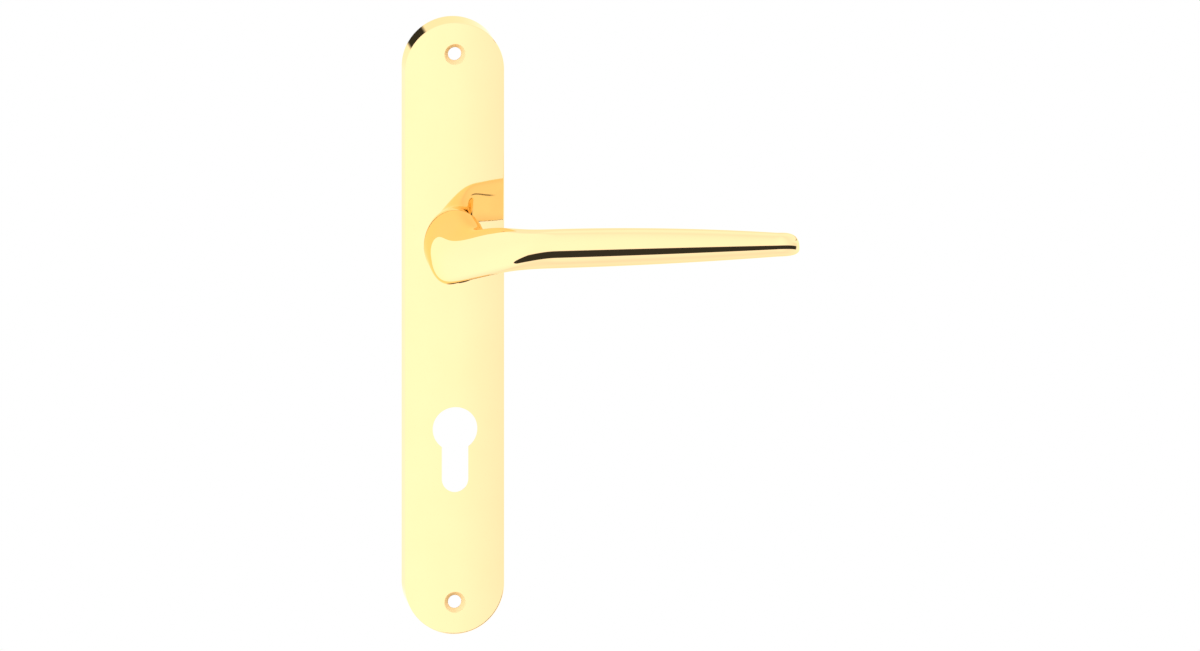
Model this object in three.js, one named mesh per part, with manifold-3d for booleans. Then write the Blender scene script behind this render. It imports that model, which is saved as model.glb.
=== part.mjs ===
// Lever handle on a long backplate with a profile-cylinder cut-out, in polished gold.
// Millimetres, +Z up. The back of the plate lies in the plane y = 0 against the door, the front looks
// along -Y and the lever points along +X. The origin is the middle of the plate's back.

import * as THREE from 'three';
import { mergeVertices } from 'three/addons/utils/BufferGeometryUtils.js';
import Module from 'manifold-3d';

const wasm = await Module();
wasm.setup();

// Plate
const plateHeight = 240;
const plateWidth = 38.2;
const plateDepth = 11.5;
const faceRadius = 150;
const plateWall = 2;
const fixingFromEnd = 12.5;
const fixingHole = 5.2;
const countersinkWidth = 8.2;
const countersinkDepth = 1.3;

// Cylinder cut-out and spindle
const cylinderCentres = 72;
const spindleHeight = 32.5;
const cutoutCircle = 17.2;
const cutoutSlot = 10.2;
const cutoutHeight = 33.3;
const spindleSize = 8;
const spindleInLever = 18;
const spindleBehindDoor = 42;
const spindleClearance = 0.15;

// Lever
const neckWidth = 24;
const neckHeight = 28.4;
const journalDiameter = 14;
const tipReach = 127.4;
const tipLength = 8.4;
const gripProjection = 46;
const gripThickness = 10.5;
const gripHeight = 15.4;
const endThickness = 7.6;
const endHeight = 9.4;
const endFall = 1;
const gripRise = 7.1;
const gripLean = 1.8;
const heelDrop = 9;
const bendLength = 56;
const heightLead = 10;
const heightEnd = 44;
const riseStart = 10;
const riseEnd = 52;
const gripPowerShare = 0.9;
const roofPowerShare = 1;
const bellyPowerShare = 0.7;
const tipDropShare = 0.4;
const tipBluntShare = 0.36;
const journalGap = 0.3;
const journalEnd = 0.4;
const journalFlatDepth = 0.55;

// Clearances
const seatGap = 0.3;
const slipGap = 0.2;

// Backing frame
const frameThickness = 3.2;
const frameRim = 1.8;
const frameRib = 1.6;
const ribCount = 3;
const sightMargin = 3.2;
const bossWall = 2;

// Spring cassette
const frameSide = 0.8;
const cassetteWall = 1.2;
const cassetteDepth = 7.5;
const coverThickness = 1.6;
const earBeyondCup = 4.6;
const earWidth = 8.6;
const bushWall = 1;
const bushFlangeWidth = 1.5;
const bushFlangeThickness = 0.8;
const hubWall = 1.3;
const hubFront = 5.6;
const hubBack = 2.6;
const lugThickness = 0.8;
const lugHalfAngle = 24;
const leverTravel = 40;
const stopPinDiameter = 1.8;
const washerWidth = 1.2;
const washerThickness = 0.5;
const waveThickness = 0.25;
const waveHeight = 0.12;
const waveCount = 3;
const clipThickness = 0.8;
const clipWidth = 1.5;
const clipGrooveDepth = 0.55;
const clipMouth = 5.5;

// Return spring
const stripThickness = 0.6;
const stripWidth = 1.8;
const springTurns = 2;
const springHook = 0.5;
const springRoom = 0.4;
const springHookInset = 0.3;

// Fasteners
const cassetteScrew = 2.5;
const frameScrew = 3;
const frameScrewHead = 5.6;
const frameScrewHeadDepth = 1.6;
const frameScrewEdge = 1.4;
const threadGap = 0.2;
const postDiameter = 6.2;
const framePostFromSide = 8.6;
const framePostFromEnd = 35;
const crossRecessWidth = 0.6;
const grubDiameter = 5;
const grubSocket = 2.5;
const grubSocketDepth = 2;
const grubReach = 8.5;
const grubLength = 3.6;

// Fineness of curved faces, in sides and steps
const arcSteps = 14;
const faceSteps = 14;
const roundSides = 28;
const smallSides = 12;
const leverSides = 32;
const neckSteps = 6;
const bendSteps = 28;
const gripSteps = 9;
const tipSteps = 8;
const sumSteps = 60;
const hexSides = 6;
const cutOverrun = 1;
const weldDistance = 0.0001;

const DEGREE = Math.PI / 180;
const journalRadius = journalDiameter / 2;
const journalFlat = journalRadius - journalFlatDepth;
const halfWidth = plateWidth / 2;
const spindleZ = spindleHeight;
const cylinderZ = spindleHeight - cylinderCentres;
const faceFront = -plateDepth;
const innerRadius = faceRadius - plateWall;
const fixingZ = plateHeight / 2 - fixingFromEnd;
const frameOutlineRadius = halfWidth - plateWall - seatGap;
const cassetteRadius = frameOutlineRadius - frameSide - seatGap;
const earReach = cassetteRadius + earBeyondCup;

const gold = new THREE.MeshStandardMaterial({ color: 0xfce6b1, metalness: 1, roughness: 0.06 });
const steel = new THREE.MeshStandardMaterial({ color: 0xb9bcc0, metalness: 1, roughness: 0.35 });
const darkSteel = new THREE.MeshStandardMaterial({ color: 0x4a4c50, metalness: 1, roughness: 0.45 });
const paleNylon = new THREE.MeshStandardMaterial({ color: 0xe9e6dc, metalness: 0, roughness: 0.5 });

// Booleans

function toSolid(geometry) {
  const bare = geometry.clone();
  bare.deleteAttribute('normal');
  bare.deleteAttribute('uv');
  const merged = mergeVertices(bare, weldDistance);
  const mesh = new wasm.Mesh({
    numProp: 3,
    vertProperties: new Float32Array(merged.attributes.position.array),
    triVerts: new Uint32Array(merged.index.array),
  });
  return new wasm.Manifold(mesh);
}

function toGeometry(solid) {
  const mesh = solid.getMesh();
  const geometry = new THREE.BufferGeometry();
  geometry.setAttribute('position', new THREE.BufferAttribute(mesh.vertProperties, 3));
  geometry.setIndex(new THREE.BufferAttribute(mesh.triVerts, 1));
  geometry.computeVertexNormals();
  return geometry;
}

function join(...geometries) {
  return toGeometry(geometries.map(toSolid).reduce((whole, piece) => whole.add(piece)));
}

function cut(geometry, ...tools) {
  const solid = tools.map(toSolid).reduce((whole, tool) => whole.subtract(tool), toSolid(geometry));
  return toGeometry(solid);
}

function overlap(first, second) {
  return toGeometry(toSolid(first).intersect(toSolid(second)));
}

// Outlines in the plane of the door: a shape's x is the part's X and its y is the part's Z

function stadiumShape(radius, halfLength, x = 0, z = 0) {
  const shape = new THREE.Shape();
  shape.absarc(x, z + halfLength - radius, radius, 0, Math.PI, false);
  shape.absarc(x, z - halfLength + radius, radius, Math.PI, 2 * Math.PI, false);
  return shape;
}

function boxShape(left, right, bottom, top) {
  const corners = [[left, bottom], [right, bottom], [right, top], [left, top]];
  return new THREE.Shape(corners.map(([x, z]) => new THREE.Vector2(x, z)));
}

// The profile cylinder's outline: a circle over a narrower slot with a round end
function cylinderShape(margin) {
  const radius = cutoutCircle / 2 + margin;
  const slot = cutoutSlot / 2 + margin;
  const start = -Math.acos(slot / radius);
  const slotEnd = cylinderZ + cutoutCircle / 2 - cutoutHeight + cutoutSlot / 2;
  const shape = new THREE.Shape();
  shape.absarc(0, cylinderZ, radius, start, Math.PI - start, false);
  shape.absarc(0, slotEnd, slot, Math.PI, 2 * Math.PI, false);
  return shape;
}

// A slab of an outline between two planes, back nearer the door and front further from it
function slab(shape, back, front, steps = arcSteps) {
  const geometry = new THREE.ExtrudeGeometry(shape, {
    depth: front - back,
    bevelEnabled: false,
    curveSegments: steps,
  });
  geometry.rotateX(Math.PI / 2);
  geometry.translate(0, -back, 0);
  return geometry;
}

// A turned piece about an axis square to the door: points are [radius, distance from the door]
function turned(points, sides, x = 0, z = 0) {
  const profile = points.map(([radius, reach]) => new THREE.Vector2(radius, -reach));
  const geometry = new THREE.LatheGeometry(profile, sides);
  const solid = toSolid(geometry);
  const ready = solid.volume() < 0 ? flipped(geometry) : geometry;
  ready.translate(x, 0, z);
  return ready;
}

function flipped(geometry) {
  const turnedOver = geometry.clone();
  const index = Array.from(turnedOver.index.array);
  for (let i = 0; i < index.length; i += 3) {
    [index[i], index[i + 1]] = [index[i + 1], index[i]];
  }
  turnedOver.setIndex(index);
  return turnedOver;
}

function rod(radius, back, front, sides, x = 0, z = 0) {
  return turned([[0, front], [radius, front], [radius, back], [0, back]], sides, x, z);
}

function ring(outer, inner, back, front, sides, x = 0, z = 0) {
  const profile = [[inner, front], [outer, front], [outer, back], [inner, back], [inner, front]];
  return turned(profile, sides, x, z);
}

// Backplate: a hollow shell with a face that is an arc across its width

function archedBar(radius, width, depth, length) {
  const edgeAngle = Math.asin(width / 2 / radius);
  const shape = new THREE.Shape();
  shape.moveTo(-width / 2, 0);
  shape.lineTo(width / 2, 0);
  shape.absarc(0, depth - radius, radius, Math.PI / 2 - edgeAngle, Math.PI / 2 + edgeAngle, false);
  shape.closePath();
  const geometry = new THREE.ExtrudeGeometry(shape, {
    depth: length,
    bevelEnabled: false,
    curveSegments: faceSteps,
  });
  geometry.rotateX(Math.PI);
  geometry.translate(0, 0, length / 2);
  return geometry;
}

// Distance from the door of the shell's inner face at a distance x from its middle line
function innerFaceAt(x) {
  return plateDepth - faceRadius + Math.sqrt(innerRadius ** 2 - x ** 2);
}

const framePostX = halfWidth - framePostFromSide;
const framePostZ = plateHeight / 2 - framePostFromEnd;
const framePosts = [-framePostZ, framePostZ].flatMap((z) => [
  [-framePostX, z],
  [framePostX, z],
]);
const cassettePosts = [-1, 1].map((side) => [0, spindleZ + side * earReach]);

function backplateGeometry() {
  const bar = archedBar(faceRadius, plateWidth + 2 * cutOverrun, plateDepth, plateHeight + 2 * cutOverrun);
  const outline = slab(stadiumShape(halfWidth, plateHeight / 2), 0, plateDepth + cutOverrun);
  const outer = overlap(bar, outline);
  const hollowBar = archedBar(innerRadius, plateWidth, plateDepth - plateWall, plateHeight);
  const inside = stadiumShape(halfWidth - plateWall, plateHeight / 2 - plateWall);
  const hollow = overlap(hollowBar, slab(inside, -cutOverrun, plateDepth));
  const openBack = slab(inside, -cutOverrun, seatGap);
  const shell = cut(outer, hollow, openBack);
  const posts = [
    ...framePosts.map(([x, z]) => [x, z, frameThickness + seatGap, frameScrew]),
    ...cassettePosts.map(([x, z]) => [x, z, cassetteEarFront + seatGap, cassetteScrew]),
  ];
  const postRods = posts.map(([x, z, back]) =>
    rod(postDiameter / 2, back, innerFaceAt(Math.abs(x)) + plateWall / 2, smallSides, x, z),
  );
  const pilots = posts.map(([x, z, back, screw]) =>
    rod(screw / 2 + threadGap, back - cutOverrun, innerFaceAt(Math.abs(x)), smallSides, x, z),
  );
  const fixings = [-1, 1].map((side) => {
    const slope = (countersinkWidth - fixingHole) / 2 / countersinkDepth;
    const widen = countersinkWidth / 2 + slope * cutOverrun;
    return turned(
      [
        [0, -cutOverrun],
        [fixingHole / 2, -cutOverrun],
        [fixingHole / 2, plateDepth - countersinkDepth],
        [widen, plateDepth + cutOverrun],
        [0, plateDepth + cutOverrun],
      ],
      smallSides,
      0,
      side * fixingZ,
    );
  });
  return cut(
    join(shell, ...postRods),
    ...pilots,
    ...fixings,
    slab(cylinderShape(0), -cutOverrun, plateDepth + cutOverrun),
    rod(journalRadius + journalGap, -cutOverrun, plateDepth + cutOverrun, roundSides, 0, spindleZ),
  );
}

// Backing frame: the moulded insert that carries the cassette and meets the door

const cassetteEarFront = coverThickness + slipGap + seatGap + cassetteWall;
const earHalfLength = earReach + earWidth / 2;

function earShape(margin) {
  return stadiumShape(earWidth / 2 + margin, earHalfLength + margin, 0, spindleZ);
}

function supportFrameGeometry() {
  const outlineRadius = frameOutlineRadius;
  const outlineHalf = plateHeight / 2 - plateWall - seatGap;
  const rimFront = innerFaceAt(outlineRadius) - seatGap;
  const web = slab(stadiumShape(outlineRadius, outlineHalf), 0, frameThickness);
  const rimOutline = stadiumShape(outlineRadius, outlineHalf);
  rimOutline.holes.push(stadiumShape(outlineRadius - frameRim, outlineHalf - frameRim));
  const rim = slab(rimOutline, 0, rimFront);
  const bossRadius = fixingHole / 2 + sightMargin;
  const bosses = [-1, 1].map((side) => {
    const front = innerFaceAt(bossRadius + bossWall) - seatGap;
    return rod(bossRadius + bossWall, 0, front, roundSides, 0, side * fixingZ);
  });
  const ribTop = spindleZ - earHalfLength - frameRib;
  const ribBottom = cylinderZ + cutoutCircle / 2 + sightMargin + frameRib;
  const ribs = [];
  for (let i = 0; i < ribCount; i += 1) {
    const z = ribBottom + ((ribTop - ribBottom) * i) / (ribCount - 1);
    const end = outlineRadius - frameRim / 2;
    ribs.push(slab(boxShape(-end, end, z - frameRib / 2, z + frameRib / 2), 0, rimFront));
  }
  const screwHoles = framePosts.map(([x, z]) => {
    const hole = frameScrew / 2 + threadGap;
    const head = frameScrewHead / 2 + seatGap;
    const headDepth = frameScrewHeadDepth + seatGap;
    return turned(
      [
        [0, -cutOverrun],
        [head, -cutOverrun],
        [head, headDepth],
        [hole, headDepth],
        [hole, plateDepth],
        [0, plateDepth],
      ],
      smallSides,
      x,
      z,
    );
  });
  const sightHoles = [-1, 1].map((side) =>
    rod(bossRadius, -cutOverrun, plateDepth, smallSides, 0, side * fixingZ),
  );
  return cut(
    join(web, rim, ...bosses, ...ribs),
    ...screwHoles,
    ...sightHoles,
    slab(cylinderShape(sightMargin), -cutOverrun, plateDepth),
    rod(cassetteRadius + seatGap, -cutOverrun, plateDepth, roundSides, 0, spindleZ),
    slab(earShape(seatGap), -cutOverrun, plateDepth),
  );
}

// Spring cassette: a cup with two ears, its cover, and the neck bush in its front

const cupFront = cassetteDepth;
const cupInnerFront = cassetteDepth - cassetteWall;
const cupBack = coverThickness + slipGap + seatGap;
const cupInnerRadius = cassetteRadius - cassetteWall;
const hubRadius = journalRadius + hubWall;
const springOuter = cupInnerRadius - springRoom;
const springInner = hubRadius + stripThickness / 2 + seatGap;
const sleeveBore = journalRadius + journalGap;
const sleeveRadius = sleeveBore + bushWall;

function cassetteHousingGeometry() {
  const cup = turned(
    [
      [sleeveRadius + slipGap, cupFront],
      [cassetteRadius, cupFront],
      [cassetteRadius, cupBack],
      [cupInnerRadius, cupBack],
      [cupInnerRadius, cupInnerFront],
      [sleeveRadius + slipGap, cupInnerFront],
      [sleeveRadius + slipGap, cupFront],
    ],
    roundSides,
    0,
    spindleZ,
  );
  const ears = cut(
    slab(earShape(0), cupBack, cassetteEarFront),
    rod(cassetteRadius - cassetteWall / 2, 0, plateDepth, roundSides, 0, spindleZ),
  );
  const earHoles = cassettePosts.map(([x, z]) =>
    rod(cassetteScrew / 2 + threadGap, 0, plateDepth, smallSides, x, z),
  );
  const hookSlot = springSlot();
  return cut(join(cup, ears), ...earHoles, hookSlot);
}

// The slot in the cup's wall that the spring's outer hook sits in
function springSlot() {
  const half = stripThickness / 2 + slipGap;
  const slot = slab(
    boxShape(springOuter - stripThickness, cassetteRadius + cutOverrun, -half, half),
    cupBack - cutOverrun,
    springFront + slipGap,
  );
  slot.rotateY(-springEndAngle);
  slot.translate(0, 0, spindleZ);
  return slot;
}

function cassetteCoverGeometry() {
  const disc = rod(cassetteRadius, slipGap, slipGap + coverThickness, roundSides, 0, spindleZ);
  const plate = join(disc, slab(earShape(0), slipGap, slipGap + coverThickness));
  const sinks = cassettePosts.map(([x, z]) => screwSink(x, z));
  const pinHoles = stopAngles.map((angle) =>
    rod(stopPinDiameter / 2 + slipGap, 0, plateDepth, smallSides, ...stopPlace(angle)),
  );
  return cut(
    plate,
    ...sinks,
    ...pinHoles,
    rod(clipRadius + seatGap + slipGap, 0, plateDepth, roundSides, 0, spindleZ),
  );
}

// A countersunk hole that takes a cassette screw and its head
function screwSink(x, z) {
  const hole = cassetteScrew / 2 + threadGap;
  return turned(
    [
      [0, 0],
      [cassetteScrew + threadGap + slipGap, 0],
      [cassetteScrew + threadGap, slipGap],
      [hole, slipGap + cassetteScrew / 2],
      [hole, plateDepth],
      [0, plateDepth],
    ],
    smallSides,
    x,
    z,
  );
}

function neckBushGeometry() {
  return turned(
    [
      [sleeveBore, cupInnerFront + slipGap],
      [sleeveRadius, cupInnerFront + slipGap],
      [sleeveRadius, cupFront + slipGap],
      [sleeveRadius + bushFlangeWidth, cupFront + slipGap],
      [sleeveRadius + bushFlangeWidth, cupFront + slipGap + bushFlangeThickness],
      [sleeveBore, cupFront + slipGap + bushFlangeThickness],
      [sleeveBore, cupInnerFront + slipGap],
    ],
    roundSides,
    0,
    spindleZ,
  );
}

// Rotor: turns with the lever by two flats, pulls the spring and meets the stop pins

const lugFront = hubBack + lugThickness;
const springBack = lugFront + seatGap;
const springFront = springBack + stripWidth;
const lugRadius = cupInnerRadius - seatGap;
const stopRadius = (hubRadius + lugRadius) / 2;
const stopSpread = Math.asin((stopPinDiameter / 2 + slipGap) / stopRadius) / DEGREE;
const lugCentre = 180;
const stopAngles = [
  lugCentre + lugHalfAngle + stopSpread,
  lugCentre - lugHalfAngle - leverTravel - stopSpread,
];

// X and Z of a stop pin, at an angle in degrees turned up from +X
function stopPlace(angle) {
  return [stopRadius * Math.cos(angle * DEGREE), spindleZ + stopRadius * Math.sin(angle * DEGREE)];
}

function rotorGeometry() {
  const hub = rod(hubRadius, hubBack, hubFront, roundSides, 0, spindleZ);
  const sector = new THREE.Shape();
  const start = (lugCentre - lugHalfAngle) * DEGREE;
  const end = (lugCentre + lugHalfAngle) * DEGREE;
  sector.absarc(0, spindleZ, lugRadius, start, end, false);
  sector.absarc(0, spindleZ, hubRadius - cassetteWall, end, start, true);
  sector.closePath();
  const lug = slab(sector, hubBack, lugFront);
  const half = stripThickness / 2 + slipGap;
  const keyway = slab(
    boxShape(hubRadius - springHook - slipGap, 2 * hubRadius, -half, half),
    springBack - slipGap,
    plateDepth,
  );
  keyway.rotateY(-springStartAngle);
  keyway.translate(0, 0, spindleZ);
  return cut(join(hub, lug), journalShape(journalGap), keyway);
}

// The lever's journal is round with two flats, with a gap all round for its mating bore
function journalShape(gap) {
  const round = rod(journalRadius + gap, -cutOverrun, plateDepth, roundSides, 0, spindleZ);
  const flats = slab(
    boxShape(-journalDiameter, journalDiameter, spindleZ - journalFlat - gap, spindleZ + journalFlat + gap),
    -2 * cutOverrun,
    plateDepth + cutOverrun,
  );
  return overlap(round, flats);
}

// Return spring: a flat strip wound in a spiral, hooked into the rotor and the cup

const springStartAngle = 90 * DEGREE;
const springEndAngle = springStartAngle + 2 * Math.PI * springTurns;

function springPoints() {
  const steps = springTurns * arcSteps * 2;
  const points = [[hubRadius - springHook, springStartAngle]];
  for (let i = 0; i <= steps; i += 1) {
    const share = i / steps;
    const radius = springInner + (springOuter - springInner) * share;
    points.push([radius, springStartAngle + (springEndAngle - springStartAngle) * share]);
  }
  points.push([cassetteRadius - springHookInset, springEndAngle]);
  return points.map(([r, a]) => new THREE.Vector2(r * Math.cos(a), r * Math.sin(a)));
}

// Offsets a line by half the strip's thickness to each side, with mitred corners
function stripOutline(points, half) {
  const left = [];
  const right = [];
  points.forEach((point, i) => {
    const inward = point.clone().sub(points[Math.max(i - 1, 0)]);
    const outward = points[Math.min(i + 1, points.length - 1)].clone().sub(point);
    const arrive = (i > 0 ? inward : outward).normalize();
    const leave = (i < points.length - 1 ? outward : inward).normalize();
    const along = arrive.clone().add(leave).normalize();
    const normal = new THREE.Vector2(-along.y, along.x);
    const mitre = half / along.dot(arrive);
    left.push(point.clone().addScaledVector(normal, mitre));
    right.push(point.clone().addScaledVector(normal, -mitre));
  });
  return [...left, ...right.reverse()];
}

function returnSpringGeometry() {
  const outline = stripOutline(springPoints(), stripThickness / 2);
  const geometry = slab(new THREE.Shape(outline), springBack, springFront);
  geometry.translate(0, 0, spindleZ);
  return geometry;
}

// Washers and clip on the journal

const washerRadius = journalRadius + washerWidth;
const clipRadius = journalRadius + clipWidth;
const grooveRadius = journalRadius - clipGrooveDepth;

function waveWasherGeometry() {
  const sides = roundSides;
  const inner = journalRadius + journalGap + slipGap;
  const outer = washerRadius;
  const middle = (hubBack + clipFront) / 2;
  const positions = [];
  const index = [];
  for (let i = 0; i < sides; i += 1) {
    const angle = (2 * Math.PI * i) / sides;
    const wave = waveHeight * Math.sin(waveCount * angle);
    [
      [inner, middle + wave - waveThickness / 2],
      [outer, middle + wave - waveThickness / 2],
      [outer, middle + wave + waveThickness / 2],
      [inner, middle + wave + waveThickness / 2],
    ].forEach(([radius, reach]) => {
      positions.push(radius * Math.cos(angle), -reach, spindleZ + radius * Math.sin(angle));
    });
    for (let k = 0; k < 4; k += 1) {
      const a = 4 * i + k;
      const b = 4 * i + ((k + 1) % 4);
      const c = 4 * ((i + 1) % sides) + k;
      const d = 4 * ((i + 1) % sides) + ((k + 1) % 4);
      index.push(a, c, b, b, c, d);
    }
  }
  return closedGeometry(positions, index);
}

function closedGeometry(positions, index) {
  const geometry = new THREE.BufferGeometry();
  geometry.setAttribute('position', new THREE.Float32BufferAttribute(positions, 3));
  geometry.setIndex(index);
  const ready = signedVolume(positions, index) < 0 ? flipped(geometry) : geometry;
  ready.computeVertexNormals();
  return ready;
}

function signedVolume(positions, index) {
  let total = 0;
  const corner = (i) => new THREE.Vector3(...positions.slice(3 * i, 3 * i + 3));
  for (let i = 0; i < index.length; i += 3) {
    const [a, b, c] = [corner(index[i]), corner(index[i + 1]), corner(index[i + 2])];
    total += a.dot(b.cross(c));
  }
  return total;
}

const waveSpace = waveThickness + 2 * waveHeight + 2 * slipGap;
const clipFront = hubBack - waveSpace;
const clipBack = clipFront - clipThickness;

function retainingClipGeometry() {
  const band = ring(clipRadius, grooveRadius + slipGap, clipBack, clipFront, roundSides, 0, spindleZ);
  const mouth = slab(
    boxShape(-clipMouth / 2, clipMouth / 2, spindleZ - 2 * clipRadius, spindleZ),
    clipBack - cutOverrun,
    clipFront + cutOverrun,
  );
  return cut(band, mouth);
}

// Lever: one body from the broad oval neck at the plate, round the bend, along the grip to the tip.
// It is an oval swept along a middle line, which runs straight out of the plate, turns through a right
// angle and runs along the grip. Width, height and rise ease from the neck's sizes to the grip's, and then
// taper with the square of the share of the grip. The heel's side sinks in the bend.

const RIGHT_ANGLE = Math.PI / 2;

// From 0 to 1 with no jump in slope or curvature
function ease(share) {
  const t = Math.min(Math.max(share, 0), 1);
  return t ** 3 * (6 * t ** 2 - 15 * t + 10);
}

function blend(from, to, share) {
  return from + (to - from) * share;
}

// How far the middle line gets, both out and along, while it turns
function bendSpan() {
  let total = 0;
  for (let i = 0; i < sumSteps; i += 1) {
    total += Math.cos(RIGHT_ANGLE * ease((i + 1 / 2) / sumSteps));
  }
  return (bendLength * total) / sumSteps;
}

const neckLength = gripProjection - gripThickness / 2 - journalGap - bendSpan();
const gripStart = neckLength + bendLength;
const gripLength = tipReach - tipLength - bendSpan();

function turnAt(run) {
  return RIGHT_ANGLE * ease((run - neckLength) / bendLength);
}

// The middle line's X and distance from the plate's face, summed up to each run
function middlePoints(runs) {
  const points = [];
  let [x, reach, last] = [0, journalGap, 0];
  runs.forEach((run) => {
    const step = (run - last) / sumSteps;
    for (let i = 0; i < sumSteps; i += 1) {
      const turn = turnAt(last + (i + 1 / 2) * step);
      x += Math.sin(turn) * step;
      reach += Math.cos(turn) * step;
    }
    last = run;
    points.push([x, reach]);
  });
  return points;
}

function steps(from, to, count) {
  return Array.from({ length: count }, (_, i) => from + ((to - from) * i) / count);
}

// Rows of inner point, outer point, half height and the oval's powers above and below: 1 is a true
// ellipse, less is squarer
function gripSections() {
  const runs = [
    ...steps(0, neckLength, neckSteps),
    ...steps(neckLength, gripStart, bendSteps),
    ...steps(gripStart, gripStart + gripLength, gripSteps),
    gripStart + gripLength,
  ];
  return middlePoints(runs).map(([x, reach], i) => {
    const run = runs[i];
    const turn = turnAt(run);
    const slim = ease(run / gripStart);
    const low = ease((run + heightLead) / (heightEnd + heightLead));
    const up = ease((run - riseStart) / (riseEnd - riseStart));
    const taper = Math.max((run - gripStart) / gripLength, 0) ** 2;
    const bump = Math.sin(Math.PI * Math.min(run / gripStart, 1)) ** 2;
    const half = (blend(neckWidth, gripThickness, slim) + (endThickness - gripThickness) * taper) / 2;
    const high = (blend(neckHeight, gripHeight, low) + (endHeight - gripHeight) * taper) / 2;
    const rise = gripRise * up - endFall * taper;
    const lean = (gripLean * slim - heelDrop * bump) / 2;
    const plain = blend(1, gripPowerShare, slim);
    const powers = [roofPowerShare, bellyPowerShare].map((power) => blend(plain, power, bump));
    const [across, out] = [half * Math.cos(turn), half * Math.sin(turn)];
    return [x + across, reach - out, rise - lean, x - across, reach + out, rise + lean, high, ...powers];
  });
}

// The tip: sections whose size is a power of one less the cube of the share of the way to the end. The
// top is cut back more than the underside, so the middle drops by a share of the height that is lost.
function tipSections(last) {
  const length = tipReach - last[0];
  return steps(0, 1, tipSteps).slice(1).map((share) => {
    const along = 1 - (1 - share) ** 2;
    const size = (1 - along ** 3) ** tipBluntShare;
    const drop = [0, tipDropShare * (1 - size) * last[6]];
    const middle = [1, 2].map((k, n) => (last[k] + last[k + 3]) / 2 - drop[n]);
    const across = [1, 2].map((k) => ((last[k + 3] - last[k]) / 2) * size);
    const x = last[0] + length * along;
    const near = middle.map((value, n) => value - across[n]);
    const far = middle.map((value, n) => value + across[n]);
    return [x, ...near, x, ...far, last[6] * size, last[7], last[8]];
  });
}

function leverSections() {
  const sections = gripSections();
  return [...sections, ...tipSections(sections[sections.length - 1])];
}

function leverSkin() {
  const positions = [];
  const index = [];
  const sections = leverSections();
  const point = ([x, reach, z]) => [x, faceFront - reach, spindleZ + z];
  sections.forEach((row) => {
    const inner = row.slice(0, 3);
    const outer = row.slice(3, 6);
    for (let k = 0; k < leverSides; k += 1) {
      const angle = (2 * Math.PI * k) / leverSides;
      const share = 2 / (Math.sin(angle) > 0 ? row[7] : row[8]);
      const size = (Math.abs(Math.cos(angle)) ** share + Math.abs(Math.sin(angle)) ** share) ** (-1 / share);
      const along = (1 + size * Math.cos(angle)) / 2;
      const at = inner.map((value, n) => value + (outer[n] - value) * along);
      at[2] += row[6] * size * Math.sin(angle);
      positions.push(...point(at));
    }
  });
  for (let i = 0; i + 1 < sections.length; i += 1) {
    for (let k = 0; k < leverSides; k += 1) {
      const a = i * leverSides + k;
      const b = i * leverSides + ((k + 1) % leverSides);
      index.push(a, b, a + leverSides, b, b + leverSides, a + leverSides);
    }
  }
  const caps = [
    [0, sections[0]],
    [(sections.length - 1) * leverSides, sections[sections.length - 1]],
  ];
  caps.forEach(([start, row], n) => {
    const centre = positions.length / 3;
    const middle = [0, 1, 2].map((k) => (row[k] + row[k + 3]) / 2);
    if (n === 1) {
      middle[0] = tipReach;
    }
    positions.push(...point(middle));
    for (let k = 0; k < leverSides; k += 1) {
      const a = start + k;
      const b = start + ((k + 1) % leverSides);
      index.push(...(n === 0 ? [a, centre, b] : [a, b, centre]));
    }
  });
  return closedGeometry(positions, index);
}

const grubZ = spindleZ - spindleSize / 2 - slipGap;

function grubHole(radius, reach) {
  const hole = new THREE.CylinderGeometry(radius, radius, reach, smallSides);
  hole.rotateX(Math.PI / 2);
  hole.translate(0, faceFront - grubReach, grubZ - reach / 2);
  return hole;
}

function leverGeometry() {
  const overlapIn = (journalGap + seatGap) * 2;
  const journal = rod(journalRadius, journalEnd, plateDepth + overlapIn, roundSides, 0, spindleZ);
  const flatTools = [-1, 1].map((side) => {
    const edge = spindleZ + side * journalFlat;
    const far = spindleZ + side * journalDiameter;
    const shape = boxShape(-journalDiameter, journalDiameter, Math.min(edge, far), Math.max(edge, far));
    return slab(shape, -cutOverrun, hubFront + slipGap);
  });
  const groove = ring(
    journalDiameter,
    grooveRadius,
    clipBack - slipGap,
    clipFront + slipGap,
    roundSides,
    0,
    spindleZ,
  );
  const half = spindleSize / 2 + spindleClearance;
  const socket = slab(
    boxShape(-half, half, spindleZ - half, spindleZ + half),
    -cutOverrun,
    plateDepth + spindleInLever + seatGap,
  );
  const body = cut(join(leverSkin(), journal), ...flatTools, groove, socket);
  return cut(body, grubHole(grubDiameter / 2 + threadGap, neckHeight));
}

function grubScrewGeometry() {
  const body = new THREE.CylinderGeometry(grubDiameter / 2, grubDiameter / 2, grubLength, smallSides);
  body.rotateX(Math.PI / 2);
  body.translate(0, 0, -grubLength / 2);
  const socket = new THREE.CylinderGeometry(grubSocket / 2, grubSocket / 2, 2 * grubSocketDepth, hexSides);
  socket.rotateX(Math.PI / 2);
  socket.translate(0, 0, -grubLength);
  return cut(body, socket);
}

function spindleGeometry() {
  const half = spindleSize / 2;
  return slab(boxShape(-half, half, -half, half), -spindleBehindDoor, plateDepth + spindleInLever);
}

// Fasteners

// Countersunk screw with a cross recess, its head towards the door
function cassetteScrewGeometry() {
  const radius = cassetteScrew / 2;
  const end = innerFaceAt(0) - seatGap;
  const body = turned(
    [
      [0, slipGap],
      [cassetteScrew, slipGap],
      [radius, slipGap + cassetteScrew - radius],
      [radius, end - radius],
      [0, end],
    ],
    smallSides,
  );
  return cut(body, ...crossRecess(cassetteScrew, slipGap, cassetteScrew / 2));
}

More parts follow.
